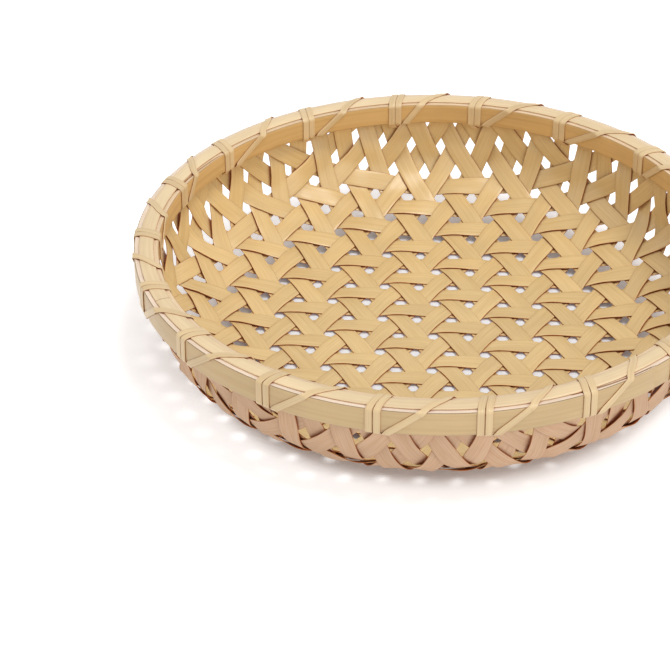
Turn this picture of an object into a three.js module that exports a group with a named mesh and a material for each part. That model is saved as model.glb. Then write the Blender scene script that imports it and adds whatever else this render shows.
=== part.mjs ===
// Shallow round serving basket of flat bamboo strips, woven in three directions around
// six-sided openings, with a rim of two bamboo hoops, a top strip and a wound binding.
// Millimetres, +Z up, the basket's middle on the Z axis, resting on Z = 0.
import * as THREE from "three";

// Weave
const STRIP_SPACING = 15.2; // between neighbouring strips of one direction
const RINGS = 9; // strips on each side of the middle, in each direction
const STRIP_WIDTH = 9.4;
const STRIP_THICKNESS = 0.6;
const LEVEL_STEP = 1.4; // between the three heights at which strips pass each other
const EDGE_HALFWAY = 0.3; // height in level steps that an edge passes between two crossings
const BEND_RELIEF = 0.6; // share by which the heights grow in the upper bend
const BEND_RELIEF_REACH = 62;
const BEND_LIFT = 0.12; // keeps strips that tilt into the bend off the ground
const BEND_LIFT_REACH = 7;
const SHORTEST_STEP = 1.6; // between the sections of a strip
const END_SLANT_ROOM = 1.2; // share of a strip end's slant that its last section keeps free
const PROBE = 0.5; // to either side, to find the direction of a strip

// Bowl, followed by the middle of the weave
const BASE_RADIUS = 70;
const LOWER_BEND_RADIUS = 133;
const LOWER_BEND_ANGLE = THREE.MathUtils.degToRad(24);
const UPPER_BEND_RADIUS = 20;
const WALL_ANGLE = THREE.MathUtils.degToRad(78);
const WALL_LENGTH = 32.7;

// Rim, wound around the top of the weave
const HOOP_HEIGHT = 14;
const HOOP_THICKNESS = 3;
const HOOP_ROOM = 2.8; // from the middle of the weave to either hoop
const STRIP_SINK = 3; // of the strip ends below the tops of the hoops
const HOOP_STEPS = 60;
const SCARF_STEPS = 3; // of those, under the overlap of a hoop's two ends
const SCARF_TIP = 0.6; // thickness left at a hoop's tapered end
const OUTER_SCARF_AT = THREE.MathUtils.degToRad(296);
const INNER_SCARF_AT = THREE.MathUtils.degToRad(146);
const TOP_STRIP_SCARF_AT = THREE.MathUtils.degToRad(206);
const TOP_STRIP_WIDTH = 7.4;
const TOP_STRIP_THICKNESS = 1.1;
const TOP_STRIP_CROWN = 0.4;

// Binding, one strand wound around the rim in groups of two upright turns and a slanting one
const BINDING_GROUP_ANGLES = [0, 18.5, 41.5].map(THREE.MathUtils.degToRad); // in each sixth
const BINDING_WIDTH = 2.8;
const BINDING_THICKNESS = 0.6;
const BINDING_ROOM = 0.7; // to the flat facets of the round hoops
const BINDING_PITCH = 3.2; // between turns side by side
const BINDING_WAIST = 1.8; // width where the strand goes through the weave
const BINDING_LAYER = 1; // between turns that go through one opening
const BINDING_REACH = 0.8; // past the hoops' near faces, where it starts to turn up
const BINDING_BULGE = 0.7; // further out in the middle of that bend
const BINDING_BEND_DROP = 1.9; // of that bend, below the hoops
const BINDING_CORNER_DROP = 0.9; // below the hoops, where it meets their far faces
const BINDING_SHOULDER = 0.3; // past the top strip's edges
const BINDING_SHOULDER_LIFT = 0.2; // over the top strip's edges
const BINDING_TOP_CORNER = 0.6; // above the hoops, where it leaves their far faces
const SLANT_SHARE = 0.4; // of the way to the next group, done on the outer face
const UPRIGHT_SHARES = [0, 0.2, 0.5, 0.8, 1]; // of the sideways step, done over the top
const SLANTED_SHARES = [0, 0.04, 0.1, 0.16, 0.2];
const SLANTED_FALL_SHARE = 0.6; // done halfway down the inner face

// Gap between pieces that touch in the real basket, and the grid that all corners lie on
const GAP = 0.3;
const CORNER_GRID = 1 / 256;

// Dependent sizes
const CELL = (2 * STRIP_SPACING) / Math.sqrt(3); // from one opening to the next
const WAVE_LENGTH = 3 * CELL; // over three strips and under three
const WEAVE_HALF = LEVEL_STEP + STRIP_THICKNESS / 2;
const LOWER_BEND_END = BASE_RADIUS + LOWER_BEND_RADIUS * LOWER_BEND_ANGLE;
const UPPER_BEND_END = LOWER_BEND_END + UPPER_BEND_RADIUS * (WALL_ANGLE - LOWER_BEND_ANGLE);
const WALL_TOP = UPPER_BEND_END + WALL_LENGTH;
const STRIP_END = WALL_TOP - STRIP_SINK;
const HOOP_BOTTOM = WALL_TOP - HOOP_HEIGHT;
const HOOP_FACE = HOOP_ROOM + HOOP_THICKNESS;
const HOOP_MIDDLE = WALL_TOP - HOOP_HEIGHT / 2;
const BINDING_FACE = HOOP_FACE + BINDING_ROOM + BINDING_THICKNESS / 2;
const TOP_STRIP_TOP = WALL_TOP + GAP + TOP_STRIP_THICKNESS;
const CROWN_TOP = TOP_STRIP_TOP + TOP_STRIP_CROWN;

const bambooInside = { color: 0xc9a063, roughness: 0.45, metalness: 0 };
const bambooHoop = { color: 0xb09a62, roughness: 0.4, metalness: 0 };
const bambooPale = { color: 0xdcc596, roughness: 0.5, metalness: 0 };

// Bowl section: distance from the axis, height and slope at a distance along the weave
function bowlSection(along) {
  const bend = (radius, from, to) => ({
    out: radius * (Math.sin(to) - Math.sin(from)),
    up: radius * (Math.cos(from) - Math.cos(to)),
  });
  if (along <= BASE_RADIUS) {
    return { out: along, up: 0, slope: 0 };
  }
  if (along <= LOWER_BEND_END) {
    const slope = (along - BASE_RADIUS) / LOWER_BEND_RADIUS;
    const part = bend(LOWER_BEND_RADIUS, 0, slope);
    return { out: BASE_RADIUS + part.out, up: part.up, slope };
  }
  const lower = bend(LOWER_BEND_RADIUS, 0, LOWER_BEND_ANGLE);
  if (along <= UPPER_BEND_END) {
    const slope = LOWER_BEND_ANGLE + (along - LOWER_BEND_END) / UPPER_BEND_RADIUS;
    const part = bend(UPPER_BEND_RADIUS, LOWER_BEND_ANGLE, slope);
    return { out: BASE_RADIUS + lower.out + part.out, up: lower.up + part.up, slope };
  }
  const upper = bend(UPPER_BEND_RADIUS, LOWER_BEND_ANGLE, WALL_ANGLE);
  const straight = along - UPPER_BEND_END;
  return {
    out: BASE_RADIUS + lower.out + upper.out + straight * Math.cos(WALL_ANGLE),
    up: lower.up + upper.up + straight * Math.sin(WALL_ANGLE),
    slope: WALL_ANGLE,
  };
}

// Point at a distance along the weave, an angle around the axis and a height inward from it
function bowlPoint(along, angle, inward) {
  const section = bowlSection(along);
  const out = section.out - inward * Math.sin(section.slope);
  const lift = BEND_LIFT * THREE.MathUtils.smoothstep(along, BASE_RADIUS - BEND_LIFT_REACH, BASE_RADIUS);
  const up = section.up + inward * Math.cos(section.slope) + WEAVE_HALF + lift;
  return new THREE.Vector3(out * Math.cos(angle), out * Math.sin(angle), up);
}

function inwardNormal(along, angle) {
  const slope = bowlSection(along).slope;
  const out = -Math.sin(slope);
  return new THREE.Vector3(out * Math.cos(angle), out * Math.sin(angle), Math.cos(slope));
}

function onGrid(size) {
  return Math.round(size / CORNER_GRID) * CORNER_GRID;
}

// One closed solid through a list of sections, made by bending a long box. A section has a
// low and a high row of points, both listed from left to right.
function bentBar(sections) {
  const steps = sections.length - 1;
  const columns = sections[0].low.length - 1;
  const bar = new THREE.BoxGeometry(steps, columns, 2, steps, columns, 1);
  const place = bar.getAttribute("position");
  matchDiagonals(bar, sections);
  for (let i = 0; i < place.count; i += 1) {
    const section = sections[Math.round(place.getX(i) + steps / 2)];
    const row = place.getZ(i) > 0 ? section.high : section.low;
    const point = row[Math.round(place.getY(i) + columns / 2)];
    place.setXYZ(i, onGrid(point.x), onGrid(point.y), onGrid(point.z));
  }
  bar.computeVertexNormals();
  return bar;
}

// A box's lower side has its diagonals the other way from its upper side. Here they run alike
// on both, so that a thin bar that twists keeps its thickness. A section that is marked as
// sunk turns them over on both sides of the bay after it, which makes a low bend as flat as a
// high one.
function matchDiagonals(bar, sections) {
  const [upperSide, lowerSide] = [bar.groups[4], bar.groups[5]];
  const corner = bar.getIndex();
  const place = bar.getAttribute("position");
  const middle = (sections.length - 1) / 2;
  for (const side of [upperSide, lowerSide]) {
    for (let i = side.start; i < side.start + side.count; i += 6) {
      const [a, b, c, d] = [i, i + 1, i + 4, i + 2].map((n) => corner.getX(n));
      const bay = Math.round(Math.min(place.getX(a), place.getX(c)) + middle);
      const sunk = sections[bay].sunk === true;
      if (sunk !== (side === lowerSide)) {
        [a, b, c, a, c, d].forEach((value, n) => corner.setX(i + n, value));
      }
    }
  }
}

// Weave strips. A strip of ring r runs straight past the middle at (r + 1/2) spacings,
// over three crossings and under three.
function waveStart(ring) {
  return (ring % 2 === 0 ? -0.75 : 0.75) * CELL;
}

// Heights of a strip's outer and inner edge at each half cell of its wave, in level steps
const EDGE_WAVE = [
  [-1, -1],
  [-1, -EDGE_HALFWAY],
  [1, EDGE_HALFWAY],
  [1, 1],
  [EDGE_HALFWAY, 1],
  [-EDGE_HALFWAY, -1],
];

// The strips stand further apart where they go round the tight bend above the base
function bendRelief(along) {
  const middle = (LOWER_BEND_END + UPPER_BEND_END) / 2;
  const away = Math.abs(along - middle) / BEND_RELIEF_REACH;
  return 1 + BEND_RELIEF * Math.max(0, 1 - away * away);
}

function edgeLevel(ring, x, edge) {
  const place = ((x - waveStart(ring)) / WAVE_LENGTH + 0.5) * EDGE_WAVE.length;
  const step = Math.floor(place);
  const share = place - step;
  const wrap = (n) => EDGE_WAVE[((n % EDGE_WAVE.length) + EDGE_WAVE.length) % EDGE_WAVE.length];
  const here = wrap(step);
  const next = wrap(step + 1);
  const level = LEVEL_STEP * bendRelief(Math.hypot(x, (ring + 0.5) * STRIP_SPACING));
  return level * (here[edge] * (1 - share) + next[edge] * share);
}

// Whether a strip keeps under the middle of the weave in the half cell after a station
function isSunk(ring, x) {
  const halfway = x + CELL / 4;
  return edgeLevel(ring, halfway, 0) + edgeLevel(ring, halfway, 1) < -LEVEL_STEP / 4;
}

// How far the level cut at a strip's end moves each edge along the strip
function endSlant(ring, reach) {
  return (STRIP_WIDTH * (ring + 0.5) * STRIP_SPACING) / (2 * reach);
}

function stripReach(ring) {
  return Math.sqrt(STRIP_END ** 2 - ((ring + 0.5) * STRIP_SPACING) ** 2);
}

function stripStations(ring) {
  const step = CELL / 2;
  const reach = stripReach(ring);
  const first = waveStart(ring) - Math.ceil((reach + WAVE_LENGTH) / step) * step;
  const stations = [-reach];
  for (let x = first; x < reach - SHORTEST_STEP; x += step) {
    if (x > -reach + SHORTEST_STEP) {
      stations.push(x);
    }
  }
  stations.push(reach);
  return stations;
}

// Place, run and inward direction of a strip's middle line
function stripFrame(ring, turn, x) {
  const distance = (ring + 0.5) * STRIP_SPACING;
  const direction = (turn * Math.PI) / 3 + Math.PI / 6;
  const spot = (at) => ({
    along: Math.hypot(distance, at),
    angle: direction + Math.atan2(at, distance),
  });
  const pointOf = (place) => bowlPoint(place.along, place.angle, 0);
  const here = spot(x);
  const forward = pointOf(spot(x + PROBE)).sub(pointOf(spot(x - PROBE))).normalize();
  const normal = inwardNormal(here.along, here.angle);
  const side = new THREE.Vector3().crossVectors(normal, forward).normalize();
  return { ...here, point: pointOf(here), forward, normal, side };
}

// Slides a corner along its strip until it is level with the strips' ends
function trimToEnd(corner, frame) {
  const end = bowlPoint(STRIP_END, frame.angle, 0);
  const below = bowlPoint(STRIP_END - 1, frame.angle, 0);
  const upWall = end.clone().sub(below);
  const above = corner.clone().sub(end).dot(upWall);
  return corner.addScaledVector(frame.forward, -above / frame.forward.dot(upWall));
}

// Lower and upper corner of a strip's outer (0) or inner (1) edge. The side vector points
// inward, to the middle of the basket.
function edgeCorners(ring, turn, x, edge, atEnd) {
  const frame = stripFrame(ring, turn, x);
  const across = ((edge === 0 ? -1 : 1) * STRIP_WIDTH) / 2;
  const level = edgeLevel(ring, x, edge);
  return [-1, 1].map((half) => {
    const corner = frame.point.clone().addScaledVector(frame.side, across);
    corner.addScaledVector(frame.normal, level + (half * STRIP_THICKNESS) / 2);
    return atEnd ? trimToEnd(corner, frame) : corner;
  });
}

function weaveStrip(ring, turn) {
  const reach = stripReach(ring);
  const slant = endSlant(ring, reach);
  const outerLimit = reach - END_SLANT_ROOM * slant - SHORTEST_STEP / 2;
  const sections = stripStations(ring).map((x) => {
    const atEnd = Math.abs(x) >= reach;
    const way = Math.sign(x);
    const outerX = atEnd ? x - way * slant : way * Math.min(Math.abs(x), outerLimit);
    const innerX = atEnd ? x + way * slant : x;
    const outer = edgeCorners(ring, turn, outerX, 0, atEnd);
    const inner = edgeCorners(ring, turn, innerX, 1, atEnd);
    return { low: [outer[0], inner[0]], high: [outer[1], inner[1]], sunk: isSunk(ring, x) };
  });
  return bentBar(sections);
}

// Rim pieces. A rim point is given by its place along the wall and its distance out from
// the middle of the weave.
function rimPoint(along, out, angle) {
  return bowlPoint(along, angle, -out);
}

// Angle that a length around the rim takes up
function rimAngle(length) {
  return length / bowlSection(WALL_TOP).out;
}

// Angles and shares of the overlap for a ring whose two ends lap over each other
function lappedStations(start, gapAngle) {
  const step = (2 * Math.PI) / HOOP_STEPS;
  const lap = SCARF_STEPS * step;
  const stations = [];
  for (let n = 0; n <= SCARF_STEPS; n += 1) {
    stations.push({ angle: start + n * step, under: n / SCARF_STEPS, over: null });
  }
  stations.push({ angle: start + lap + gapAngle, under: null, over: null });
  for (let n = SCARF_STEPS + 1; n < HOOP_STEPS; n += 1) {
    stations.push({ angle: start + n * step, under: null, over: null });
  }
  const turnEnd = start + 2 * Math.PI;
  stations.push({ angle: turnEnd - gapAngle, under: null, over: null });
  for (let n = 0; n <= SCARF_STEPS; n += 1) {
    stations.push({ angle: turnEnd + n * step, under: null, over: n / SCARF_STEPS });
  }
  return stations;
}

// Thickness range of a lapped ring at a station, between its low and high side
function lappedRange(station, low, high) {
  const travel = high - low - 2 * SCARF_TIP - GAP;
  if (station.under !== null) {
    return [low, low + SCARF_TIP + travel * station.under];
  }
  if (station.over !== null) {
    return [low + SCARF_TIP + GAP + travel * station.over, high];
  }
  return [low, high];
}

function hoop(nearSide, farSide, scarfAt) {
  const gapAngle = rimAngle(GAP);
  const sections = lappedStations(scarfAt, gapAngle).map((station) => {
    const [near, far] = lappedRange(station, nearSide, farSide);
    const row = (out) => [
      rimPoint(HOOP_BOTTOM, out, station.angle),
      rimPoint(WALL_TOP, out, station.angle),
    ];
    return { low: row(near), high: row(far) };
  });
  return bentBar(sections);
}

function topStrip() {
  const half = TOP_STRIP_WIDTH / 2;
  const low = WALL_TOP + GAP;
  const sections = [];
  const step = (2 * Math.PI) / HOOP_STEPS;
  const first = TOP_STRIP_SCARF_AT;
  const openAngle = rimAngle(GAP);
  for (let n = 0; n <= HOOP_STEPS; n += 1) {
    const trim = n === HOOP_STEPS ? openAngle : 0;
    const angle = first + n * step - trim;
    const lowRow = [half, 0, -half].map((out) => rimPoint(low, out, angle));
    const highRow = [
      rimPoint(TOP_STRIP_TOP, half, angle),
      rimPoint(CROWN_TOP, 0, angle),
      rimPoint(TOP_STRIP_TOP, -half, angle),
    ];
    sections.push({ low: lowRow, high: highRow });
  }
  return bentBar(sections);
}

// Middle of the weave's opening that lies so many cells from the basket's middle
function openingAt(cellsAlong, cellsAside) {
  const x = CELL * (cellsAlong + cellsAside / 2);
  const y = CELL * cellsAside * Math.sin(Math.PI / 3);
  return { along: Math.hypot(x, y), angle: Math.atan2(y, x) };
}

// The opening just below the hoops that lies nearest an angle of the first sixth. All three
// turns of a group have to bend up between it and the hoops.
function openingNear(angle) {
  const wanted = HOOP_BOTTOM - STRIP_WIDTH / 2;
  const highest = HOOP_BOTTOM - BINDING_BEND_DROP - 2 * BINDING_LAYER;
  const most = Math.ceil(WALL_TOP / CELL);
  let best = { distance: Infinity };
  for (let aside = 0; aside < most; aside += 1) {
    for (let cells = 1; cells < most; cells += 1) {
      const opening = openingAt(cells, aside);
      const distance = Math.hypot(opening.along - wanted, (opening.angle - angle) * wanted);
      if (opening.along < highest && distance < best.distance) {
        best = { ...opening, distance };
      }
    }
  }
  return best;
}

function bindingGroups() {
  const groups = [];
  for (let sector = 0; sector < 6; sector += 1) {
    for (const angle of BINDING_GROUP_ANGLES) {
      const turn = (sector * Math.PI) / 3;
      const opening = openingNear(angle);
      groups.push({ face: turn + angle, opening: turn + opening.angle, along: opening.along });
    }
  }
  return groups;
}

// The way through an opening for turn 0, 1 or 2 of a group, from inside to outside
function bindingPass(group, turn) {
  const wide = group.face + rimAngle((turn - 1) * BINDING_PITCH);
  const along = group.along + (1 - turn) * BINDING_LAYER;
  const reach = HOOP_ROOM + BINDING_REACH + turn * BINDING_LAYER;
  const bendAlong = Math.max(HOOP_BOTTOM - BINDING_BEND_DROP - turn * BINDING_LAYER, along);
  const corner = { along: HOOP_BOTTOM - BINDING_CORNER_DROP, out: BINDING_FACE, angle: wide };
  const bend = { along: bendAlong, out: reach + BINDING_BULGE, angle: wide };
  const mouth = { along, out: reach, angle: group.opening, waist: true };
  const inner = (spot) => ({ ...spot, out: -spot.out });
  return [inner(corner), inner(bend), inner(mouth), mouth, bend, corner];
}

// Up the outer face, over the top and down the inner face
function bindingOver(fromAngle, crestAngle, toAngle) {
  const shoulder = TOP_STRIP_WIDTH / 2 + BINDING_SHOULDER;
  const corner = WALL_TOP + BINDING_TOP_CORNER;
  const edge = TOP_STRIP_TOP + GAP + BINDING_THICKNESS / 2 + BINDING_SHOULDER_LIFT;
  const crown = CROWN_TOP + GAP + BINDING_THICKNESS / 2;
  const slanting = crestAngle !== fromAngle;
  const shares = slanting ? SLANTED_SHARES : UPRIGHT_SHARES;
  const across = (share) => crestAngle + (toAngle - crestAngle) * share;
  const overTop = [
    { along: corner, out: BINDING_FACE },
    { along: edge, out: shoulder },
    { along: crown, out: 0 },
    { along: edge, out: -shoulder },
    { along: corner, out: -BINDING_FACE },
  ].map((spot, n) => ({ ...spot, angle: across(shares[n]) }));
  if (!slanting) {
    return overTop;
  }
  const halfUp = (fromAngle + crestAngle) / 2;
  const rising = { along: HOOP_MIDDLE, out: BINDING_FACE, angle: halfUp };
  const falling = { along: HOOP_MIDDLE, out: -BINDING_FACE, angle: across(SLANTED_FALL_SHARE) };
  return [rising, ...overTop, falling];
}

function bindingRoute() {
  const route = [];
  const groups = bindingGroups();
  groups.forEach((group, n) => {
    const next = groups[(n + 1) % groups.length];
    const nextFace = next.face + (n + 1 === groups.length ? 2 * Math.PI : 0);
    const pitch = rimAngle(BINDING_PITCH);
    for (const turn of [0, 1]) {
      const from = group.face + (turn - 1) * pitch;
      route.push(...bindingPass(group, turn));
      route.push(...bindingOver(from, from, from + pitch));
    }
    const from = group.face + pitch;
    const to = nextFace - pitch;
    route.push(...bindingPass(group, 2));
    route.push(...bindingOver(from, from + (to - from) * SLANT_SHARE, to));
  });
  return route;
}

// Section of the strand at a spot of its route, square to the way it runs
function strandSection(before, spot, after) {
  const middle = rimPoint(spot.along, spot.out, spot.angle);
  const toMiddle = (other) => rimPoint(other.along, other.out, other.angle);
  const arrive = middle.clone().sub(toMiddle(before)).normalize();
  const leave = toMiddle(after).sub(middle).normalize();
  const forward = arrive.clone().add(leave).normalize();
  const around = new THREE.Vector3(-Math.sin(spot.angle), Math.cos(spot.angle), 0);
  const face = new THREE.Vector3().crossVectors(forward, around).normalize();
  const side = new THREE.Vector3().crossVectors(face, forward).normalize();
  const width = spot.waist ? BINDING_WAIST : BINDING_WIDTH;
  const across = side.multiplyScalar(width / 2);
  const through = face.multiplyScalar(BINDING_THICKNESS / 2);
  return {
    low: [middle.clone().sub(across).sub(through), middle.clone().add(across).sub(through)],
    high: [middle.clone().sub(across).add(through), middle.clone().add(across).add(through)],
  };
}

// The spot that carries a route on in a straight line past its end
function straightOn(from, to) {
  return {
    along: 2 * to.along - from.along,
    out: 2 * to.out - from.out,
    angle: 2 * to.angle - from.angle,
  };
}

function binding() {
  const route = bindingRoute();
  const last = route.length - 1;
  const ahead = straightOn(route[1], route[0]);
  const beyond = straightOn(route[last - 1], route[last]);
  const sections = route.map((spot, n) =>
    strandSection(route[n - 1] ?? ahead, spot, route[n + 1] ?? beyond),
  );
  return bentBar(sections);
}

function addPiece(group, name, geometry, look) {
  const mesh = new THREE.Mesh(geometry, new THREE.MeshStandardMaterial(look));
  mesh.name = name;
  group.add(mesh);
}

function makeBasket() {
  const basket = new THREE.Group();
  basket.name = "bamboo_basket";
  for (let ring = 0; ring < RINGS; ring += 1) {
    for (let turn = 0; turn < 6; turn += 1) {
      const name = `weave_strip_${ring + 1}${"abcdef"[turn]}`;
      addPiece(basket, name, weaveStrip(ring, turn), bambooInside);
    }
  }
  addPiece(basket, "outer_hoop", hoop(HOOP_ROOM, HOOP_FACE, OUTER_SCARF_AT), bambooHoop);
  addPiece(basket, "inner_hoop", hoop(-HOOP_FACE, -HOOP_ROOM, INNER_SCARF_AT), bambooHoop);
  addPiece(basket, "rim_top_strip", topStrip(), bambooPale);
  addPiece(basket, "rim_binding", binding(), bambooPale);
  return basket;
}

export default makeBasket();
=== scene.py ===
"""Studio view of a shallow round bamboo basket. The woven strips, the hoops, the top strip
and the binding are fine meshes that stand for the solids of the same names."""

import math

import bpy
import numpy as np
from mathutils import Matrix, Vector


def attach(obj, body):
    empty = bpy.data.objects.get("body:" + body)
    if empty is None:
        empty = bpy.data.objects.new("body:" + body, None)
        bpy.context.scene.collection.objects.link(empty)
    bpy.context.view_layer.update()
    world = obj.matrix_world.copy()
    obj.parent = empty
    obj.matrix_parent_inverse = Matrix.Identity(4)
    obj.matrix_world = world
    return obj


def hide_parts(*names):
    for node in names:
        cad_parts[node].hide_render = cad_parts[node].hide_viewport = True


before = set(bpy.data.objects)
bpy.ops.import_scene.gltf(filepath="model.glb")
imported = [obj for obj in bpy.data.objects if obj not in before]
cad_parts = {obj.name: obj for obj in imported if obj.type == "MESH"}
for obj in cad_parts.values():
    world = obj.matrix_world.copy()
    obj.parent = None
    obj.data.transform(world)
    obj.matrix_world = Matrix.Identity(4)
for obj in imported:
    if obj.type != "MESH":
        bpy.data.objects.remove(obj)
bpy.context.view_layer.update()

# Lengths are in millimetres unless marked as metres, and meshes are scaled to metres
METRES = 0.001
TINY = 1e-6

# Camera, and the point on the floor that it is aimed at
AIM = (-49.9, 0.6, 0.0)
CAMERA_DISTANCE = 1315
CAMERA_AZIMUTH = math.radians(3.5)
CAMERA_ELEVATION = math.radians(33.83)
CAMERA_ROLL = math.radians(-0.42)
CAMERA_LENS = 139.4
SENSOR_WIDTH = 36
CLIP_END = 50  # metres

# Weave: strips in three directions, each over three others and under three
STRIP_SPACING = 15.2
RINGS = 9  # strips on either side of the middle
LETTERS = "abcdef"  # directions and sides of a ring
STRIP_WIDTH = 9.6
STRIP_THICKNESS = 0.46
STRIP_CROWN = 0.03
STRIP_EDGE = 0.55  # share of the thickness left at the rounded edge
STRIP_STEP = 1.4
TRIM_RANGE = (0.7, 1.3)  # for the search of a strip's end, as shares of its flat length
TRIM_ROUNDS = 30
CELL = 2 * STRIP_SPACING / math.sqrt(3)
LEVEL_STEP = 0.66
BEND_RELIEF = 0.65  # extra height of the wave at the upper bend
BEND_RELIEF_REACH = 62
WAVE_LENGTH = 3 * CELL
WAVE_START = 0.75 * CELL
WAVE_FIRST = 1.1
WAVE_THIRD = -0.05
WAVE_TWIST = 0.46
SEED = 7
NOISE_OCTAVES = (1.0, 1.9, 3.3)
NOISE_SIZE = 1.5  # of the sum of these octaves
WANDER = 0.16
WANDER_LENGTH = 140
WIDTH_CHANGE = 0.012
WIDTH_CHANGE_LENGTH = 60
GRAIN_OFFSET = 1000  # sets the fibres of one strip apart from the next one's

# Section of the bowl, along the middle of the weave
WEAVE_HALF = 1.13
BEND_LIFT = 0.12
BEND_LIFT_REACH = 7
BASE_RADIUS = 72.4
SECTION = [  # length and turn of each part, from the middle of the base to the rim
    (BASE_RADIUS, 0.0),
    (54.0, math.radians(24.3)),
    (21.9, math.radians(51.7)),
    (12.6, 0.0),
    (7.3, math.radians(14)),
    (11.0, 0.0),
]
UPPER_BEND_MIDDLE = 137.4
WALL_TOP = sum(length for length, _ in SECTION)
STRIP_END = WALL_TOP - 3

# Hoops, which lie on either side of the weave
OUTER_HOOP_HEIGHT = 12.2
INNER_HOOP_HEIGHT = 10.8
HOOP_THICKNESS = 3.3
HOOP_ROOM = 2.8  # from the middle of the weave to a hoop
HOOP_FACE = HOOP_ROOM + HOOP_THICKNESS
HOOP_CORNER = 0.45
CORNER_SHARE = 0.3  # of the thickness, at most, that a rounded corner takes
CORNER_POINTS = 4
HOOP_BULGE = 0.12
NEAR_BULGE_SHARE = 0.5
SCARF_ANGLE = math.radians(18)  # over which the two tapered ends of a hoop lap
SCARF_TIP = 0.6
SCARF_GAP = 0.25
OUTER_SCARF_AT = math.radians(296)
INNER_SCARF_AT = math.radians(146)
RIM_STEP = math.radians(1.25)
HOOP_GRAIN_RADIUS = 148
HOOP_SHARP_DEGREES = 40
SHARP_DEGREES = 48

# Strip on top of the hoops, with heights above the wall's top
TOP_STRIP_AT = math.radians(206)
TOP_STRIP_WIDTH = 7.2
TOP_STRIP_EDGE = 0.75
TOP_STRIP_CROWN = 1.15
TOP_STRIP_ROUNDING = 0.2
TOP_STRIP_FOOT = 0.1
TOP_STRIP_LIFT = 0.03
TOP_STRIP_SKIN = 0.3  # height above which its surface is skin
DOME_SHARE = 0.965  # of its width that the domed top takes
DOME_POINTS = 13
FOOT_SHARE = 0.96  # of its width that the flat underside takes
TOP_STRIP_GAP = 0.002  # between its two ends, in radians
TOP_STRIP_GRAIN_RADIUS = 146

# Binding strand: two upright turns and a slanting one in each group
GROUP_ANGLES = (0.3, 20.3, 39.8, 61.8, 81.8, 99.8, 120.3, 142.8, 160.8,
                181.3, 200.8, 219.3, 240.3, 261.3, 280.8, 300.3, 320.3, 340.3)
BINDING_WIDTH = 3.4
BINDING_WAIST = 2.2  # width of the strand where it goes through the weave
BINDING_THICKNESS = 0.55
BINDING_GAP = 0.06
BINDING_PITCH = 3.65
BINDING_ROUNDING = 1.3
LONGEST_CUT = 0.45  # share of a straight that the rounding at one end may take
BINDING_STEP = 1.2
BINDING_FACE = HOOP_FACE + BINDING_GAP + BINDING_THICKNESS / 2 + HOOP_BULGE
BINDING_TOP = WALL_TOP + TOP_STRIP_CROWN + BINDING_GAP + BINDING_THICKNESS / 2
SLANT_RISE = 15.5  # of the slanting turn along the rim, on its way up the outer hoop
SLANT_CROSSING = 13  # and on its way over the top
FACE_RISE = 0.15  # of the strand above a hoop's face
SHOULDER_RISE = 0.42  # of the strand above the edge of the top strip
SHOULDER_SHARE = 0.9  # of the top strip's half width
FACE_DROP = 0.35  # of the strand below a hoop's face
MIDDLE_DROP = 0.6  # of a group's first turn below the middle of a hoop
TURN_SPREAD = 0.5  # by which each turn keeps clear of the one before it
TURN_LAYER = 0.7  # the same where the turns go through the weave
MOUTH_INSET = 0.9  # of the strand from the hoops, where it goes through the weave
MOUTH_RUN = 1.5  # outward from there to the strand's corner below a hoop
MOUTH_DROP = 2.3  # of the strand's way through the weave, below the outer hoop
MOUTH_SHIFT = 2  # at most, from the middle of a group sideways to its opening
MOUTH_SHARE = 0.5  # of that shift that the strand takes up
OPENING_DROP = 4  # of the opening that a group looks for, below the outer hoop
OPENING_ROOM = 1  # by which that opening may lie higher

# Colours of split bamboo, and the deep colour of the painted shade that fills the narrow gaps
# between pieces
# The strips' dark orange-brown edge colour is partly the cut edge's own colour and partly
# painted shade for the dark lines where strips overlap
STRIP_COLOURS = {"skin": 0xE6C78E, "skin_streak": 0xE1C086, "pith": 0xDEB998,
                 "pith_fibre": 0xD0A782, "edge": 0xAE641F}
OUTER_HOOP_COLOURS = {"skin": 0xD6B887, "skin_streak": 0xD1B181, "pith": 0xF6E2CE,
                      "pith_fibre": 0xEDD6BC, "edge": 0x8A6A3C}
INNER_HOOP_COLOURS = {"skin": 0xE0B87A, "skin_streak": 0xD8AE70, "pith": 0xEFD6B4,
                      "pith_fibre": 0xE2C49C, "edge": 0xA87840}
TOP_STRIP_COLOURS = {"skin": 0xEFD6AC, "skin_streak": 0xE9CDA2, "pith": 0xE8CFA8,
                     "pith_fibre": 0xDCC098, "edge": 0xC9A578}
BINDING_COLOURS = {"skin": 0xE6CA9C, "skin_streak": 0xDEC092, "pith": 0xE3C59A,
                   "pith_fibre": 0xD4B68A, "edge": 0xB98F60}
PAINTED_GAP_SHADE_COLOUR = 0xAA4A0C

# Surface of split bamboo. Levels of noise come first, then what they are turned into
EDGE_ZONE = 0.6  # level of the third grain coordinate below which a face is a cut edge
FACE_ZONE = 0.95  # and above which it is all skin or all pith
GRAIN_THROUGH = 0.4  # scale of the noise along that coordinate
SKIN_STREAKS = (0.35, 0.68)
PITH_FIBRES = (0.36, 0.66)
# Painted shade in narrow gaps: occlusion levels and the share of the painted colour at each,
# then the occlusion's rays and reach
PAINTED_GAP_SHADE_SHARES = (0.15, 0.72, 0.95, 0.0)
PAINTED_GAP_SHADE_SAMPLES = 6
PAINTED_GAP_SHADE_REACH = 0.004  # metres
CLOUD_SHADES = (0.25, 0.75, 0.94, 1.05)
FIBRE_SHADES = (0.3, 0.7, 0.982, 1.014)
FIBRE_ROUGHNESS = (0.3, 0.7, -0.04, 0.05)
TONE_CHANGE = 0.03
PITH_ROUGHNESS = 0.68
SPECULAR_LEVEL = 0.42
FIBRE_HEIGHT = 0.00012  # metres
SKIN_FIBRE_SHARE = 0.35

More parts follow.
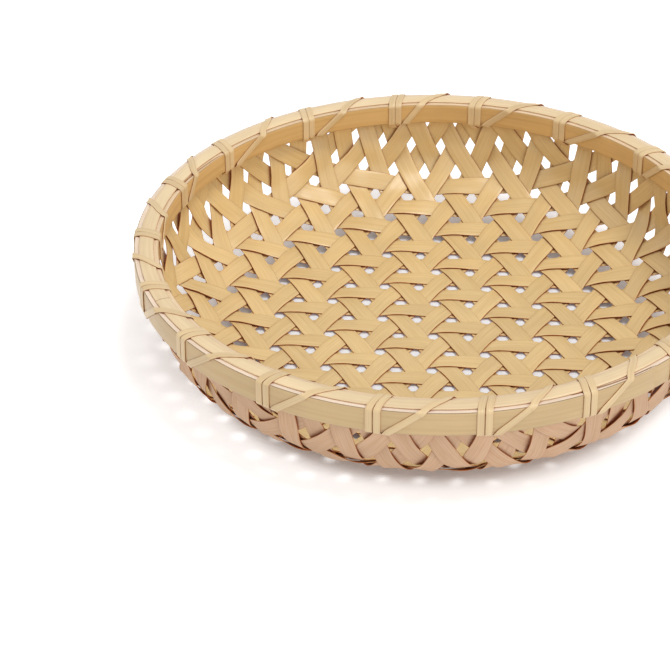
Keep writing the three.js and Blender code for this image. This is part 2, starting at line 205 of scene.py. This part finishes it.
# Floor and its glow, which is weak next to the basket and stronger away from it. This shape
# paints the basket's shadow: dark close by, and washed out to white further away
FLOOR_GREY = 0.9
FLOOR_BLUE = 1.01
FLOOR_REACH = 6  # metres
FLOOR_GLOW = (0.05, 0.52)
FRONT_GLOW_REACH = (0.114, 0.129)  # metres from the axis
BACK_GLOW_REACH = (0.085, 0.165)
FRONT_TO_BACK = (-0.07, -0.03)  # metres along the y axis

# Light
WORLD_STRENGTH = 0.4
LAMPS = [  # name, direction that it shines from, strength and softness in degrees
    ("overhead", (0.3, -0.1, 0.94), 1.36, 24),
    ("front_right", (0.46, -0.77, 0.45), 0.82, 50),
    ("left", (-0.9, 0.0, 0.45), 0.44, 50),
]


def bowl_section(along):
    """Distance from the axis, height and slope at distances along the weave."""
    along = np.asarray(along, float)
    out, up, slope = np.zeros_like(along), np.zeros_like(along), np.zeros_like(along)
    start, bearing = 0.0, 0.0
    for n, (length, turn) in enumerate(SECTION):
        part = np.clip(along - start, 0, length if n + 1 < len(SECTION) else None)
        if turn:
            radius = length / turn
            angle = bearing + part / radius
            out = out + radius * (np.sin(angle) - math.sin(bearing))
            up = up + radius * (math.cos(bearing) - np.cos(angle))
            slope = slope + part / radius
        else:
            out = out + part * math.cos(bearing)
            up = up + part * math.sin(bearing)
        start += length
        bearing += turn
    return out, up, slope


RIM_RADIUS = float(bowl_section(WALL_TOP)[0])


def bowl_point(along, angle, inward):
    """Point at a distance along the weave, an angle around the axis and a height inward."""
    out, up, slope = bowl_section(along)
    out = out - inward * np.sin(slope)
    share = np.clip((along - BASE_RADIUS + BEND_LIFT_REACH) / BEND_LIFT_REACH, 0, 1)
    lift = BEND_LIFT * share * share * (3 - 2 * share)
    up = up + inward * np.cos(slope) + WEAVE_HALF + lift
    return np.stack([out * np.cos(angle), out * np.sin(angle), up], -1)


def rim_point(along, out, angle):
    """The same for the rim's pieces, which are measured outward."""
    return bowl_point(along, angle, -out)


def inward_normal(along, angle):
    slope = bowl_section(along)[2]
    out = -np.sin(slope)
    return np.stack([out * np.cos(angle), out * np.sin(angle), np.cos(slope)], -1)


def unit(vectors):
    return vectors / np.linalg.norm(vectors, axis=-1, keepdims=True)


def turned(points, angle):
    cos, sin = math.cos(angle), math.sin(angle)
    x, y, z = points[..., 0], points[..., 1], points[..., 2]
    return np.stack([x * cos - y * sin, x * sin + y * cos, z], -1)


def ring_distance(ring):
    """Distance of a ring's strips from the axis, on the flat lattice."""
    return (ring + 0.5) * STRIP_SPACING


def strip_frame(ring, x):
    """Middle line, inward normal and side of a ring's first strip at lengths x."""
    distance = ring_distance(ring)
    direction = math.pi / 6

    def spot(at):
        return np.hypot(distance, at), direction + np.arctan2(at, distance)

    here = spot(x)
    forward = unit(bowl_point(*spot(x + 0.5), 0) - bowl_point(*spot(x - 0.5), 0))
    normal = inward_normal(*here)
    side = unit(np.cross(normal, forward))
    return bowl_point(*here, 0), normal, side


def strip_level(ring, x, across):
    """Height of a strip above the weave's middle, with its tilt as it passes the others."""
    start = -WAVE_START if ring % 2 == 0 else WAVE_START
    phase = 2 * math.pi * (x - start) / WAVE_LENGTH
    wave = WAVE_FIRST * np.cos(phase) + WAVE_THIRD * np.cos(3 * phase)
    wave = wave + WAVE_TWIST * across * np.sin(2 * phase)
    along = np.hypot(x, ring_distance(ring))
    away = np.abs(along - UPPER_BEND_MIDDLE) / BEND_RELIEF_REACH
    relief = 1 + BEND_RELIEF * np.maximum(0, 1 - away * away)
    return LEVEL_STEP * relief * wave


def strip_ends(ring, across, way):
    """Length along the strip at which each line of it reaches the level of its end."""
    goal = bowl_point(np.array(STRIP_END), 0.0, 0)[2]
    reach = math.sqrt(STRIP_END**2 - ring_distance(ring) ** 2)
    low, high = (np.full(across.shape, reach * share) for share in TRIM_RANGE)
    for _ in range(TRIM_ROUNDS):
        middle = (low + high) / 2
        point, _, side = strip_frame(ring, way * middle)
        height = point[:, 2] + side[:, 2] * across * STRIP_WIDTH / 2
        above = height > goal
        high = np.where(above, middle, high)
        low = np.where(above, low, middle)
    return way * (low + high) / 2


def strip_profile():
    """Outline of a strip's section: share across (1 is the inner edge) and through."""
    row = [-0.965, -0.7, -0.35, 0, 0.35, 0.7, 0.965]
    top = [(v, 1.0) for v in row]
    bottom = [(v, -1.0) for v in reversed(row)]
    inner = [(1, STRIP_EDGE), (1, -STRIP_EDGE)]
    outer = [(-1, -STRIP_EDGE), (-1, STRIP_EDGE)]
    return np.array(top + inner + bottom + outer)


def smooth_noise(rng, x, wavelength):
    """Smooth random curve of about unit size, with features about a wavelength long."""
    total = np.zeros_like(x)
    for octave in NOISE_OCTAVES:
        phase = rng.uniform(0, 2 * math.pi)
        total = total + np.sin(2 * math.pi * octave * x / wavelength + phase) / octave
    return total / NOISE_SIZE


def strip_surface(ring, rng):
    """Vertices (sections x outline) of one strip of a ring, and their grain coordinates."""
    outline = strip_profile()
    across, through = outline[:, 0], outline[:, 1]
    start = strip_ends(ring, across, -1)
    stop = strip_ends(ring, across, 1)
    steps = int(math.ceil((stop.max() - start.min()) / STRIP_STEP))
    share = np.linspace(0, 1, steps + 1)[:, None]
    x = start + (stop - start) * share
    wander = WANDER * smooth_noise(rng, x, WANDER_LENGTH)
    point, normal, side = strip_frame(ring, x)
    half = STRIP_WIDTH / 2 * (1 + WIDTH_CHANGE * smooth_noise(rng, x, WIDTH_CHANGE_LENGTH))
    level = strip_level(ring, x, across) + STRIP_CROWN * (1 - across**2)
    height = level + through * STRIP_THICKNESS / 2
    vertices = point + side * (across * half + wander)[..., None] + normal * height[..., None]
    grain = np.stack([x, np.broadcast_to(across * STRIP_WIDTH / 2, x.shape),
                      np.broadcast_to(through, x.shape)], -1)
    return vertices, grain


def bar_faces(sections, columns):
    """Quads between neighbouring sections of a bar, and a cap on either end."""
    faces = []
    for n in range(sections - 1):
        here = n * columns
        there = here + columns
        for k in range(columns):
            after = (k + 1) % columns
            faces.append((here + k, here + after, there + after, there + k))
    faces.append(tuple(reversed(range(columns))))
    faces.append(tuple(range((sections - 1) * columns, sections * columns)))
    return faces


def face_out(mesh):
    """Turns all faces of a closed mesh outward."""
    corners = np.zeros(len(mesh.vertices) * 3)
    mesh.vertices.foreach_get("co", corners)
    corners = corners.reshape(-1, 3)
    mesh.calc_loop_triangles()
    triangles = np.zeros(len(mesh.loop_triangles) * 3, int)
    mesh.loop_triangles.foreach_get("vertices", triangles)
    a, b, c = (corners[triangles[n::3]] for n in range(3))
    if np.einsum("ij,ij->i", a, np.cross(b, c)).sum() < 0:
        mesh.flip_normals()


def put_in_scene(thing):
    bpy.context.scene.collection.objects.link(thing)
    return thing


def bar_object(name, vertices, grain, tone, material, sharp_degrees=SHARP_DEGREES):
    """Mesh object through sections of vertices, with grain and tone attributes."""
    sections, columns = vertices.shape[:2]
    flat = vertices.reshape(-1, 3) * METRES
    mesh = bpy.data.meshes.new(name)
    mesh.from_pydata(flat.tolist(), [], bar_faces(sections, columns))
    mesh.update()
    face_out(mesh)
    layer = mesh.attributes.new("grain", "FLOAT_VECTOR", "POINT")
    layer.data.foreach_set("vector", grain.reshape(-1, 3).astype(np.float32).ravel())
    shade = mesh.attributes.new("tone", "FLOAT", "POINT")
    shade.data.foreach_set("value", np.full(len(flat), tone, np.float32))
    mesh.materials.append(material)
    mesh.shade_smooth()
    mesh.set_sharp_from_angle(angle=math.radians(sharp_degrees))
    return put_in_scene(bpy.data.objects.new(name, mesh))


def stand_in(piece, node):
    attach(piece, "root")
    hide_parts(node)


def make_weave(material):
    rng = np.random.default_rng(SEED)
    for ring in range(RINGS):
        for turn, letter in enumerate(LETTERS):
            vertices, grain = strip_surface(ring, rng)
            vertices = turned(vertices, turn * math.pi / 3)
            grain[..., 0] += GRAIN_OFFSET * (ring * len(LETTERS) + turn)
            node = f"weave_strip_{ring + 1}{letter}"
            piece = bar_object(f"bamboo_{node}", vertices, grain, rng.uniform(-1, 1), material)
            stand_in(piece, node)


def hoop_outline():
    """Outline of a hoop's section: shares of its thickness and height, and offsets from
    there as shares of the corner's rounding."""
    spots = []
    level_spots = (0.25, 0.5, 0.75)
    corners = [(1, 1, ()), (0, 1, reversed(level_spots)), (0, 0, ()), (1, 0, level_spots)]
    for quarter, (far, top, levels) in enumerate(corners):
        for turn in np.linspace(0, math.pi / 2, CORNER_POINTS):
            angle = turn + quarter * math.pi / 2
            spots.append((far, top, math.cos(angle) - (1 if far else -1),
                          math.sin(angle) - (1 if top else -1)))
        spots += [(far, level, 0, 0) for level in levels]
    return np.array(spots)


def make_hoop(node, near, far, height, scarf_at, skin_outward, material, tone):
    """Hoop between two distances outward. Its two ends are tapered and lap."""
    count = int(round((2 * math.pi + SCARF_ANGLE) / RIM_STEP))
    share = np.linspace(0, 1, count + 1)
    angle = scarf_at + share * (2 * math.pi + SCARF_ANGLE)
    travel = far - near - 2 * SCARF_TIP - SCARF_GAP
    under = np.clip((angle - scarf_at) / SCARF_ANGLE, 0, 1)
    over = np.clip((angle - scarf_at - 2 * math.pi) / SCARF_ANGLE, 0, 1)
    is_under = angle < scarf_at + SCARF_ANGLE - TINY
    is_over = angle > scarf_at + 2 * math.pi + TINY
    low = np.where(is_over, near + SCARF_TIP + SCARF_GAP + travel * over, near)[:, None]
    high = np.where(is_under, near + SCARF_TIP + travel * under, far)[:, None]
    thick = high - low
    round_by = np.minimum(HOOP_CORNER, thick * CORNER_SHARE)
    far_side, top, out_offset, up_offset = hoop_outline().T
    bulge = HOOP_BULGE * (1 - (2 * top - 1) ** 2)
    out = low + thick * far_side + out_offset * round_by
    out = out + np.where(far_side > 0.5, bulge, -NEAR_BULGE_SHARE * bulge)
    along = WALL_TOP - height * (1 - top) + up_offset * round_by
    spot = np.broadcast_to(angle[:, None], out.shape)
    vertices = rim_point(along, out, spot)
    has_skin = (far_side > 0.5) == skin_outward
    skin = np.where(has_skin, 1 - 2 * np.abs(out_offset), -1.0)
    skin = np.broadcast_to(skin, out.shape)
    grain = np.stack([spot * HOOP_GRAIN_RADIUS, along - WALL_TOP + out, skin], -1)
    piece = bar_object(f"bamboo_{node}", vertices, grain, tone, material, HOOP_SHARP_DEGREES)
    stand_in(piece, node)


def top_strip_outline():
    """Outline of the top strip's section: distance outward and height above the wall."""
    half = TOP_STRIP_WIDTH / 2
    low = TOP_STRIP_EDGE - TOP_STRIP_ROUNDING
    outline = [(half, TOP_STRIP_FOOT), (half, low)]
    for share in np.linspace(1, -1, DOME_POINTS):
        rise = (TOP_STRIP_CROWN - TOP_STRIP_EDGE) * (1 - share**2)
        outline.append((share * half * DOME_SHARE, TOP_STRIP_EDGE + rise))
    outline += [(-half, low), (-half, TOP_STRIP_FOOT)]
    outline += [(side * half * FOOT_SHARE, TOP_STRIP_LIFT) for side in (-1, 0, 1)]
    return np.array(outline)


def make_top_strip(material):
    outline = top_strip_outline()
    count = int(round(2 * math.pi / RIM_STEP))
    turn = np.linspace(0, 2 * math.pi - TOP_STRIP_GAP, count + 1)
    out = np.broadcast_to(outline[:, 0], (count + 1, len(outline)))
    along = WALL_TOP + np.broadcast_to(outline[:, 1], out.shape)
    spot = np.broadcast_to(TOP_STRIP_AT + turn[:, None], out.shape)
    vertices = rim_point(along, out, spot)
    skin = np.where(along > WALL_TOP + TOP_STRIP_SKIN, 1.0, -1.0)
    grain = np.stack([spot * TOP_STRIP_GRAIN_RADIUS, out, skin], -1)
    piece = bar_object("bamboo_rim_top_strip", vertices, grain, tone=0.2, material=material)
    stand_in(piece, "rim_top_strip")


def opening_near(angle):
    """Distance along the weave and angle of the opening that a binding group uses."""
    wanted = WALL_TOP - OUTER_HOOP_HEIGHT - OPENING_DROP
    best = (math.inf, 0, 0)
    reach = RINGS + 2
    for aside in range(-reach, reach + 1):
        for cells in range(-reach, reach + 1):
            x = CELL * (cells + aside / 2)
            y = CELL * aside * math.sin(math.pi / 3)
            along, at = math.hypot(x, y), math.atan2(y, x)
            turn = math.remainder(at - angle, 2 * math.pi)
            away = math.hypot(along - wanted, turn * wanted)
            if along < wanted + OPENING_ROOM and away < best[0]:
                best = (away, along, angle + turn)
    return best[1], best[2]


def binding_groups():
    """Place of each group around the rim, and place and distance along of its opening."""
    for degrees in GROUP_ANGLES:
        angle = math.radians(degrees)
        along, opening = opening_near(angle)
        yield angle * RIM_RADIUS, opening * RIM_RADIUS, along


def binding_pass(face, opening, along, turn):
    """Corners (along, out, around, width) of a turn's way through the weave, to the outside."""
    at = face + (turn - 1) * BINDING_PITCH
    level = max(along, WALL_TOP - OUTER_HOOP_HEIGHT - MOUTH_DROP) + (1 - turn) * TURN_LAYER
    mouth_at = face + max(-MOUTH_SHIFT, min(MOUTH_SHIFT, opening - face)) * MOUTH_SHARE
    reach = HOOP_ROOM - MOUTH_INSET + turn * TURN_SPREAD
    corners = []
    for way, height in ((-1, INNER_HOOP_HEIGHT), (1, OUTER_HOOP_HEIGHT)):
        bottom = WALL_TOP - height
        low = bottom - MIDDLE_DROP - turn * TURN_SPREAD
        side = [
            (bottom - FACE_DROP, way * BINDING_FACE, at, BINDING_WIDTH),
            (low, way * (reach + MOUTH_RUN), at, BINDING_WIDTH),
            (level, way * reach, mouth_at, BINDING_WAIST),
        ]
        corners += side if way < 0 else reversed(side)
    return corners


def binding_over(crest, crossing):
    """Corners of a turn's way over the top of the rim, from the outside to the inside."""
    edge = TOP_STRIP_WIDTH / 2 * SHOULDER_SHARE
    shoulder = WALL_TOP + TOP_STRIP_EDGE + SHOULDER_RISE
    face_top = WALL_TOP + FACE_RISE
    spots = [  # along, out and share of the crossing
        (face_top, BINDING_FACE, 0),
        (shoulder, edge, 0.2),
        (BINDING_TOP, 0, 0.5),
        (shoulder, -edge, 0.8),
        (face_top, -BINDING_FACE, 1),
    ]
    return [(along, out, crest + crossing * share, BINDING_WIDTH) for along, out, share in spots]


def binding_route():
    route = []
    for face, opening, along in binding_groups():
        for turn in (0, 1):
            at = face + (turn - 1) * BINDING_PITCH
            route += binding_pass(face, opening, along, turn)
            route += binding_over(at, BINDING_PITCH)
        route += binding_pass(face, opening, along, 2)
        route += binding_over(face + BINDING_PITCH + SLANT_RISE, SLANT_CROSSING)
    return np.array(route)


def rounded(route, radius, step):
    """A route with its corners rounded off, sampled at short steps."""
    path = [route[0]]
    for before, corner, after in zip(route[:-2], route[1:-1], route[2:]):
        lead = np.linalg.norm((corner - before)[:3])
        tail = np.linalg.norm((after - corner)[:3])
        cut_in = corner + (before - corner) * min(radius / lead, LONGEST_CUT)
        cut_out = corner + (after - corner) * min(radius / tail, LONGEST_CUT)
        straight = np.linalg.norm((cut_in - path[-1])[:3])
        pieces = max(int(straight / step), 1)
        for n in range(1, pieces + 1):
            path.append(path[-1] + (cut_in - path[-1]) / (pieces - n + 1))
        for share in (0.25, 0.5, 0.75, 1.0):
            first = cut_in + (corner - cut_in) * share
            second = corner + (cut_out - corner) * share
            path.append(first + (second - first) * share)
    path.append(route[-1])
    return np.array(path)


def make_binding(material):
    path = rounded(binding_route(), BINDING_ROUNDING, BINDING_STEP)
    angle = path[:, 2] / RIM_RADIUS
    middle = rim_point(path[:, 0], path[:, 1], angle)
    forward = unit(np.gradient(middle, axis=0))
    around = np.stack([-np.sin(angle), np.cos(angle), np.zeros_like(angle)], -1)
    face = unit(np.cross(forward, around))
    side = unit(np.cross(face, forward))
    outline = np.array([(-1, 0), (-0.94, 0.75), (-0.6, 1), (0, 1.12), (0.6, 1), (0.94, 0.75),
                        (1, 0), (0.94, -0.8), (0.6, -1), (-0.6, -1), (-0.94, -0.8)])
    across = outline[:, 0] * path[:, 3:4] / 2
    through = np.broadcast_to(-outline[:, 1] * BINDING_THICKNESS / 2, across.shape)
    vertices = (middle[:, None] + side[:, None] * across[..., None]
                + face[:, None] * through[..., None])
    length = np.concatenate([[0], np.cumsum(np.linalg.norm(np.diff(middle, axis=0), axis=1))])
    skin = np.where(outline[:, 1] >= 0, 1.0, -1.0)
    grain = np.stack([np.broadcast_to(length[:, None], across.shape), across,
                      np.broadcast_to(skin, across.shape)], -1)
    piece = bar_object("bamboo_rim_binding", vertices, grain, tone=0.0, material=material)
    stand_in(piece, "rim_binding")


class Nodes:
    """Short forms for building the nodes of a material or a world."""

    def __init__(self, owner):
        owner.use_nodes = True
        self.tree = owner.node_tree
        self.tree.nodes.clear()

    def add(self, kind, **values):
        node = self.tree.nodes.new(kind)
        for key, value in values.items():
            setattr(node, key, value)
        return node

    def link(self, source, target):
        self.tree.links.new(source, target)

    def put(self, socket, value):
        if isinstance(value, bpy.types.NodeSocket):
            self.link(value, socket)
        else:
            socket.default_value = value

    def math(self, operation, *values):
        node = self.add("ShaderNodeMath", operation=operation)
        for socket, value in zip(node.inputs, values):
            self.put(socket, value)
        return node.outputs[0]

    def vector_math(self, operation, first):
        node = self.add("ShaderNodeVectorMath", operation=operation)
        self.link(first, node.inputs[0])
        return node

    def split(self, vector):
        node = self.add("ShaderNodeSeparateXYZ")
        self.link(vector, node.inputs[0])
        return node.outputs

    def spread(self, value, low, high, to_low=0.0, to_high=1.0):
        node = self.add("ShaderNodeMapRange", interpolation_type="SMOOTHSTEP")
        for socket, setting in zip(node.inputs, (value, low, high, to_low, to_high)):
            self.put(socket, setting)
        return node.outputs[0]

    def mix(self, share, first, second):
        node = self.add("ShaderNodeMix", data_type="RGBA")
        self.put(node.inputs[0], share)
        self.put(node.inputs[6], first)
        self.put(node.inputs[7], second)
        return node.outputs[2]

    def fibres(self, grain, lengthwise, across, detail=2.0, roughness=0.5):
        """Noise on grain coordinates that are scaled apart, so that it draws fibres."""
        scaled = self.vector_math("MULTIPLY", grain)
        scaled.inputs[1].default_value = (lengthwise, across, GRAIN_THROUGH)
        node = self.add("ShaderNodeTexNoise")
        self.link(scaled.outputs[0], node.inputs["Vector"])
        node.inputs["Scale"].default_value = 1.0
        node.inputs["Detail"].default_value = detail
        node.inputs["Roughness"].default_value = roughness
        return node.outputs[0]

    def seen_directly(self):
        """1 for rays from the camera and for reflected or transmitted ones."""
        path = self.add("ShaderNodeLightPath").outputs
        share = self.math("MAXIMUM", path["Is Camera Ray"], path["Is Glossy Ray"])
        return self.math("MAXIMUM", share, path["Is Transmission Ray"])


def linear(hex_colour):
    """Linear RGBA of a colour written as 0xRRGGBB."""
    channels = [(hex_colour >> shift & 255) / 255 for shift in (16, 8, 0)]
    return [c / 12.92 if c < 0.04045 else ((c + 0.055) / 1.055) ** 2.4 for c in channels] + [1]


def bamboo(name, colours, edge_share, skin_roughness, fibre_depth):
    """Split bamboo: smooth skin on one side, open fibres on the other and on cut edges, with
    painted shade in the narrow gaps between pieces.
    """
    colours = {part: linear(colour) for part, colour in colours.items()}
    material = bpy.data.materials.new(name)
    n = Nodes(material)
    grain = n.add("ShaderNodeAttribute", attribute_name="grain").outputs["Vector"]
    tone = n.add("ShaderNodeAttribute", attribute_name="tone").outputs["Fac"]
    fibres = n.fibres(grain, lengthwise=0.05, across=3.2, detail=3.0, roughness=0.6)
    streaks = n.fibres(grain, lengthwise=0.012, across=0.7)
    clouds = n.fibres(grain, lengthwise=0.03, across=0.06)

    # The third grain coordinate is 1 on the skin, -1 on the other side and between on edges
    depth = n.split(grain)[2]
    on_skin = n.spread(depth, EDGE_ZONE, FACE_ZONE)
    on_back = n.spread(depth, -FACE_ZONE, -EDGE_ZONE, 1.0, 0.0)
    on_edge = n.math("SUBTRACT", n.math("SUBTRACT", 1.0, on_skin), on_back)
    skin = n.mix(n.spread(streaks, *SKIN_STREAKS), colours["skin"], colours["skin_streak"])
    pith = n.mix(n.spread(fibres, *PITH_FIBRES), colours["pith"], colours["pith_fibre"])
    colour = n.mix(on_skin, pith, skin)
    colour = n.mix(n.math("MULTIPLY", on_edge, edge_share), colour, colours["edge"])

    # Painted shade: narrow gaps, found by ambient occlusion, are painted a deep orange-brown
    # that stands for shade lit by light that has passed through bamboo
    shade_probe = n.add("ShaderNodeAmbientOcclusion", samples=PAINTED_GAP_SHADE_SAMPLES)
    shade_probe.inputs["Distance"].default_value = PAINTED_GAP_SHADE_REACH
    painted_gap_shade = n.spread(shade_probe.outputs["AO"], *PAINTED_GAP_SHADE_SHARES)
    colour = n.mix(painted_gap_shade, colour, linear(PAINTED_GAP_SHADE_COLOUR))

    value = n.math("MULTIPLY_ADD", tone, TONE_CHANGE, 1.0)
    value = n.math("MULTIPLY", value, n.spread(clouds, *CLOUD_SHADES))
    value = n.math("MULTIPLY", value, n.spread(fibres, *FIBRE_SHADES))
    bright = n.vector_math("SCALE", colour)
    n.link(value, bright.inputs[3])

    shader = n.add("ShaderNodeBsdfPrincipled")
    n.link(bright.outputs[0], shader.inputs["Base Color"])
    rough = n.spread(on_skin, 0.0, 1.0, PITH_ROUGHNESS, skin_roughness)
    rough = n.math("ADD", rough, n.spread(fibres, *FIBRE_ROUGHNESS))
    n.link(rough, shader.inputs["Roughness"])
    shader.inputs["Specular IOR Level"].default_value = SPECULAR_LEVEL
    bump = n.add("ShaderNodeBump")
    bump.inputs["Distance"].default_value = FIBRE_HEIGHT
    strength = n.spread(on_skin, 0.0, 1.0, fibre_depth, fibre_depth * SKIN_FIBRE_SHARE)
    n.link(strength, bump.inputs["Strength"])
    n.link(fibres, bump.inputs["Height"])
    n.link(bump.outputs[0], shader.inputs["Normal"])
    n.link(shader.outputs[0], n.add("ShaderNodeOutputMaterial").inputs[0])
    return material


def floor_glow_with_painted_shadow(n):
    """Strength of the floor's glow, which rises over a shorter distance in front. It paints the
    basket's shadow on the floor, dark close by and washed out further away.
    """
    place = n.add("ShaderNodeNewGeometry").outputs["Position"]
    distance = n.vector_math("LENGTH", place).outputs["Value"]
    at_back = n.spread(n.split(place)[1], *FRONT_TO_BACK)
    in_front = n.math("SUBTRACT", 1.0, at_back)
    front = n.math("MULTIPLY", n.spread(distance, *FRONT_GLOW_REACH, *FLOOR_GLOW), in_front)
    back = n.math("MULTIPLY", n.spread(distance, *BACK_GLOW_REACH, *FLOOR_GLOW), at_back)
    return n.math("MULTIPLY", n.seen_directly(), n.math("ADD", front, back))


def make_floor():
    material = bpy.data.materials.new("pale_floor")
    n = Nodes(material)
    diffuse = n.add("ShaderNodeBsdfDiffuse")
    diffuse.inputs["Color"].default_value = (FLOOR_GREY, FLOOR_GREY, FLOOR_GREY * FLOOR_BLUE, 1)
    glow = n.add("ShaderNodeEmission")
    n.link(floor_glow_with_painted_shadow(n), glow.inputs["Strength"])
    both = n.add("ShaderNodeAddShader")
    n.link(diffuse.outputs[0], both.inputs[0])
    n.link(glow.outputs[0], both.inputs[1])
    n.link(both.outputs[0], n.add("ShaderNodeOutputMaterial").inputs[0])
    mesh = bpy.data.meshes.new("floor")
    far = FLOOR_REACH
    corners = [(-far, -far, 0), (far, -far, 0), (far, far, 0), (-far, far, 0)]
    mesh.from_pydata(corners, [], [(0, 1, 2, 3)])
    mesh.materials.append(material)
    floor = put_in_scene(bpy.data.objects.new("floor", mesh))


def make_world():
    """Soft even light on the objects, and plain white wherever the world itself is seen."""
    world = bpy.data.worlds.new("studio")
    bpy.context.scene.world = world
    n = Nodes(world)
    mix = n.add("ShaderNodeMixShader")
    n.link(n.seen_directly(), mix.inputs[0])
    for socket, strength in zip(mix.inputs[1:], (WORLD_STRENGTH, 1.0)):
        background = n.add("ShaderNodeBackground")
        background.inputs["Color"].default_value = (1, 1, 1, 1)
        background.inputs["Strength"].default_value = strength
        n.link(background.outputs[0], socket)
    n.link(mix.outputs[0], n.add("ShaderNodeOutputWorld").inputs[0])


def make_lamp(name, direction, strength, degrees):
    """A broad distant lamp that shines from a direction."""
    lamp = bpy.data.lights.new(name, "SUN")
    lamp.energy = strength
    lamp.angle = math.radians(degrees)
    holder = put_in_scene(bpy.data.objects.new(name, lamp))
    holder.rotation_euler = Vector(direction).to_track_quat("Z", "Y").to_euler()


def make_camera():
    azimuth, elevation = CAMERA_AZIMUTH, CAMERA_ELEVATION
    back = Vector((math.sin(azimuth) * math.cos(elevation),
                   -math.cos(azimuth) * math.cos(elevation),
                   math.sin(elevation)))
    camera = bpy.data.cameras.new("camera")
    camera.sensor_width = SENSOR_WIDTH
    camera.lens = CAMERA_LENS
    camera.clip_end = CLIP_END
    holder = put_in_scene(bpy.data.objects.new("camera", camera))
    place = (Vector(AIM) + back * CAMERA_DISTANCE) * METRES
    level = Vector((math.cos(azimuth), math.sin(azimuth), 0))
    upright = back.cross(level)
    right = level * math.cos(CAMERA_ROLL) + upright * math.sin(CAMERA_ROLL)
    turn = Matrix((right, back.cross(right), back)).transposed().to_4x4()
    holder.matrix_world = Matrix.Translation(place) @ turn
    bpy.context.scene.camera = holder


def make_basket():
    strips = bamboo("woven_bamboo", STRIP_COLOURS,
                    edge_share=0.95, skin_roughness=0.3, fibre_depth=0.4)
    outer = bamboo("outer_hoop_bamboo", OUTER_HOOP_COLOURS,
                   edge_share=0.85, skin_roughness=0.36, fibre_depth=0.4)
    inner = bamboo("inner_hoop_bamboo", INNER_HOOP_COLOURS,
                   edge_share=0.7, skin_roughness=0.36, fibre_depth=0.4)
    pale = bamboo("pale_bamboo", TOP_STRIP_COLOURS,
                  edge_share=0.6, skin_roughness=0.42, fibre_depth=0.6)
    strand = bamboo("binding_bamboo", BINDING_COLOURS,
                    edge_share=0.7, skin_roughness=0.36, fibre_depth=0.5)
    make_weave(strips)
    make_hoop("outer_hoop", HOOP_ROOM, HOOP_FACE, OUTER_HOOP_HEIGHT, OUTER_SCARF_AT,
              skin_outward=True, material=outer, tone=0.1)
    make_hoop("inner_hoop", -HOOP_FACE, -HOOP_ROOM, INNER_HOOP_HEIGHT, INNER_SCARF_AT,
              skin_outward=False, material=inner, tone=-0.1)
    make_top_strip(pale)
    make_binding(strand)


make_camera()
make_world()
for lamp in LAMPS:
    make_lamp(*lamp)
make_floor()
make_basket()
bpy.context.scene.view_settings.view_transform = "Standard"
